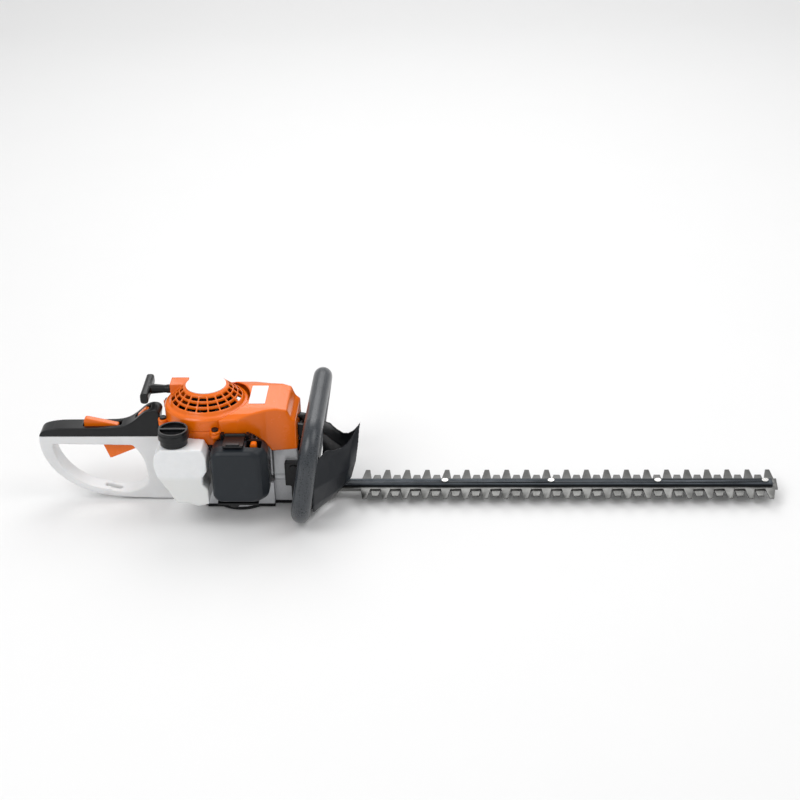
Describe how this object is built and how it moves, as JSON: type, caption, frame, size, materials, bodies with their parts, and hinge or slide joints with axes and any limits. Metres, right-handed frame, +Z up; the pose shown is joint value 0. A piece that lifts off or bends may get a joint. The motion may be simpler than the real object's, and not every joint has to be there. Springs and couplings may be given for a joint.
{
  "type": "petrol hedge trimmer",
  "caption": "Petrol hedge trimmer with a long double-sided toothed cutter, loop front handle, hand guard, recoil-start engine under a ribbed fan cover, and a rear handle with trigger.",
  "frame": {"origin": "on the flat underside of the gear case, straight below the crankshaft axis", "axes": "+X along the blade towards its tip, +Z up along the crankshaft towards the starter, +Y to the left of a user who looks along the blade"},
  "size_m": [1.0965, 0.268, 0.1882],
  "materials": {
    "orange_plastic": "gloss",
    "white_plastic": "satin",
    "black_plastic": "satin",
    "slate_plastic": "satin",
    "tank_plastic": "satin",
    "blade_steel": "satin",
    "steel": "satin",
    "bright_steel": "gloss",
    "cast_aluminium": "satin",
    "rubber": "matte",
    "label_film": "satin",
    "filter_felt": "matte",
    "muffler_metal": "matte",
    "hose": "satin"
  },
  "bodies": {
    "chassis": {"bar_bolts": "bright_steel", "bar_bushings": "steel", "bearings": "steel", "blade_guard": "black_plastic", "carburettor": "cast_aluminium", "connecting_rod": "steel", "crankcase_lower": "cast_aluminium", "crankcase_upper": "cast_aluminium", "crankshaft": "steel", "cylinder": "cast_aluminium", "engine_cover": "orange_plastic", "fan_baffle": "black_plastic", "filter_base": "black_plastic", "filter_element": "filter_felt", "front_bracket": "black_plastic", "fuel_hose": "hose", "fuel_tank": "tank_plastic", "gear_axle": "steel", "gear_case": "cast_aluminium", "gear_case_cover": "black_plastic", "gear_case_screws": "steel", "grip_cover": "black_plastic", "guide_bar": "blade_steel", "housing_screws": "steel", "ignition_module": "black_plastic", "intake_spacer": "black_plastic", "labels": "label_film", "lever_pins": "steel", "loop_handle": "slate_plastic", "mount_casting": "cast_aluminium", "muffler": "muffler_metal", "muffler_guard": "black_plastic", "piston": "cast_aluminium", "piston_pin": "steel", "plug_boot_and_lead": "rubber", "rear_handle": "white_plastic", "rewind_spring": "steel", "rubber_mounts": "rubber", "spark_plug": "bright_steel", "starter_housing": "orange_plastic", "throttle_cable": "hose"},
    "rotor": {"fan_wheel": "cast_aluminium", "clutch_carrier": "steel", "clutch_shoes": "steel"},
    "drum": {"clutch_drum": "steel"},
    "cutter_gear": {"crank_gear": "steel"},
    "long_knife": {"upper_knife": "blade_steel"},
    "short_knife": {"lower_knife": "blade_steel"},
    "trigger": {"throttle_trigger": "orange_plastic"},
    "lockout": {"trigger_lockout": "orange_plastic"},
    "stop_button": {"stop_switch": "orange_plastic"},
    "carb_lever": {"carb_throttle_lever": "steel"},
    "pull_grip": {"starter_grip": "black_plastic", "starter_rope": "hose"},
    "pulley": {"rope_pulley": "black_plastic"},
    "tank_cap": {"fuel_cap": "black_plastic"},
    "air_cover": {"filter_cover": "slate_plastic"},
    "cover_latch": {"filter_latch": "black_plastic"},
    "choke": {"choke_lever": "orange_plastic"},
    "primer": {"primer_bulb": "rubber"}
  },
  "joints": [
    {"name": "engine_spin", "type": "hinge", "parent": "chassis", "child": "rotor", "pos_m": [0, 0, 0.123], "axis": [0, 0, 1], "continuous": true},
    {"name": "cutter_gear_spin", "type": "hinge", "parent": "chassis", "child": "cutter_gear", "pos_m": [0.045, 0, 0.029], "axis": [0, 0, 1], "continuous": true},
    {"name": "drum_spin", "type": "hinge", "parent": "chassis", "child": "drum", "pos_m": [0, 0, 0.05], "axis": [0, 0, 1], "continuous": true},
    {"name": "long_knife_slide", "type": "slide", "parent": "chassis", "child": "long_knife", "axis": [1, 0, 0], "range_m": [-0.0075, 0.0075]},
    {"name": "short_knife_slide", "type": "slide", "parent": "chassis", "child": "short_knife", "axis": [1, 0, 0], "range_m": [-0.0075, 0.0075]},
    {"name": "trigger_pull", "type": "hinge", "parent": "chassis", "child": "trigger", "pos_m": [-0.114, 0, 0.101], "axis": [0, 1, 0], "range_deg": [0, 12], "stiffness_Nm_per_rad": 0.4, "springref_deg": -2.86},
    {"name": "carb_lever_turn", "type": "hinge", "parent": "chassis", "child": "carb_lever", "pos_m": [0.066, -0.052, 0.1], "axis": [0, 0, 1], "range_deg": [0, 52]},
    {"name": "lockout_press", "type": "hinge", "parent": "chassis", "child": "lockout", "pos_m": [-0.141, 0, 0.113], "axis": [0, 1, 0], "range_deg": [-7, 0], "stiffness_Nm_per_rad": 0.3, "springref_deg": 2.86},
    {"name": "stop_switch_press", "type": "hinge", "parent": "chassis", "child": "stop_button", "pos_m": [-0.097, 0, 0.134], "axis": [0, 1, 0], "range_deg": [0, 12], "stiffness_Nm_per_rad": 0.05, "springref_deg": -1.15},
    {"name": "starter_pull", "type": "slide", "parent": "chassis", "child": "pull_grip", "axis": [-1, 0, 0], "range_m": [0, 0.06], "stiffness_N_per_m": 20, "springref_m": -0.05},
    {"name": "pulley_spin", "type": "hinge", "parent": "chassis", "child": "pulley", "pos_m": [0, 0, 0.169], "axis": [0, 0, 1], "range_deg": [0, 160]},
    {"name": "cap_turn", "type": "hinge", "parent": "chassis", "child": "tank_cap", "pos_m": [-0.04, -0.08, 0.142], "axis": [0, 0, 1], "range_deg": [0, 90]},
    {"name": "air_cover_slide", "type": "slide", "parent": "chassis", "child": "air_cover", "axis": [0, -1, 0], "range_m": [0, 0.045]},
    {"name": "latch_lift", "type": "hinge", "parent": "chassis", "child": "cover_latch", "pos_m": [0.048, -0.066, 0.138], "axis": [-1, 0, 0], "range_deg": [0, 85]},
    {"name": "choke_turn", "type": "hinge", "parent": "chassis", "child": "choke", "pos_m": [0.077, -0.08, 0.124], "axis": [0, 1, 0], "range_deg": [-20, 20]},
    {"name": "primer_press", "type": "slide", "parent": "chassis", "child": "primer", "axis": [0, 0, 1], "range_m": [0, 0.003], "stiffness_N_per_m": 300, "springref_m": -0.001}
  ],
  "couplings": [
    {"joint": "drum_spin", "follows": "cutter_gear_spin", "ratio": -4},
    {"joint": "short_knife_slide", "follows": "long_knife_slide", "ratio": -1},
    {"joint": "carb_lever_turn", "follows": "trigger_pull", "ratio": 4},
    {"joint": "pulley_spin", "follows": "starter_pull", "rad_per_m": 45.455}
  ]
}
